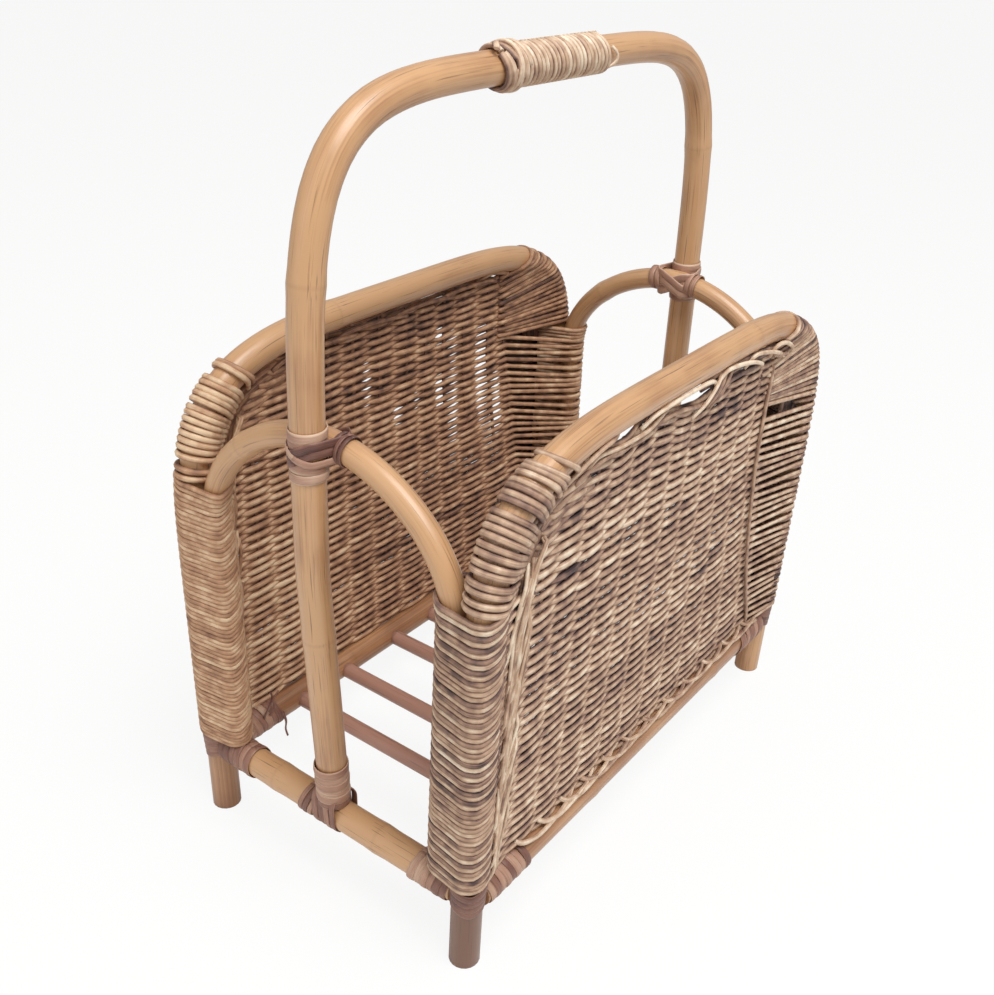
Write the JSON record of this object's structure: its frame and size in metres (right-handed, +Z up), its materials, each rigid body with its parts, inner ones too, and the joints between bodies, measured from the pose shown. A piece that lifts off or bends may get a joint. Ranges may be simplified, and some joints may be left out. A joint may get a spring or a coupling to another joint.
{
  "type": "magazine basket",
  "caption": "Standing basket for magazines with a bent-pole frame, a tall carrying hoop, open arched ends, woven long sides and a floor of round rods",
  "frame": {"origin": "on the floor, in the middle of the four feet", "axes": "+Z up; X along the basket, from one open end to the other; Y across it, from one woven panel to the other; -Y is the panel whose outer face the picture shows, and -X is the near open end"},
  "size_m": [0.436, 0.2538, 0.5104],
  "materials": {
    "pole": "satin cane skin, honey tan with node rings and streaks",
    "rod": "satin, darker mauve-brown cane",
    "weave": "satin woven strands, straw with brown ones between",
    "strand": "satin straw-coloured strands",
    "binding": "satin, flat purple-brown strips"
  },
  "bodies": {
    "root": {"handle_hoop": "pole", "panel_hoop_front": "pole", "side_rail_front": "pole", "panel_hoop_back": "pole", "side_rail_back": "pole", "end_rail_left": "pole", "end_arch_left": "pole", "end_rail_right": "pole", "end_arch_right": "pole", "floor_rod_1": "rod", "floor_rod_2": "rod", "floor_rod_3": "rod", "floor_rod_4": "rod", "floor_rod_5": "rod", "floor_rod_6": "rod", "weave_front": "weave", "weave_back": "weave", "grip_wrap": "strand", "bundle_wrap_front_left": "strand", "pole_wrap_front_left": "strand", "bundle_wrap_front_right": "strand", "pole_wrap_front_right": "strand", "bundle_wrap_back_left": "strand", "pole_wrap_back_left": "strand", "bundle_wrap_back_right": "strand", "pole_wrap_back_right": "strand", "corner_binding_front_left": "binding", "corner_binding_front_right": "binding", "corner_binding_back_left": "binding", "corner_binding_back_right": "binding", "foot_binding_left": "binding", "lashing_left": "binding", "foot_binding_right": "binding", "lashing_right": "binding"}
  },
  "joints": []
}
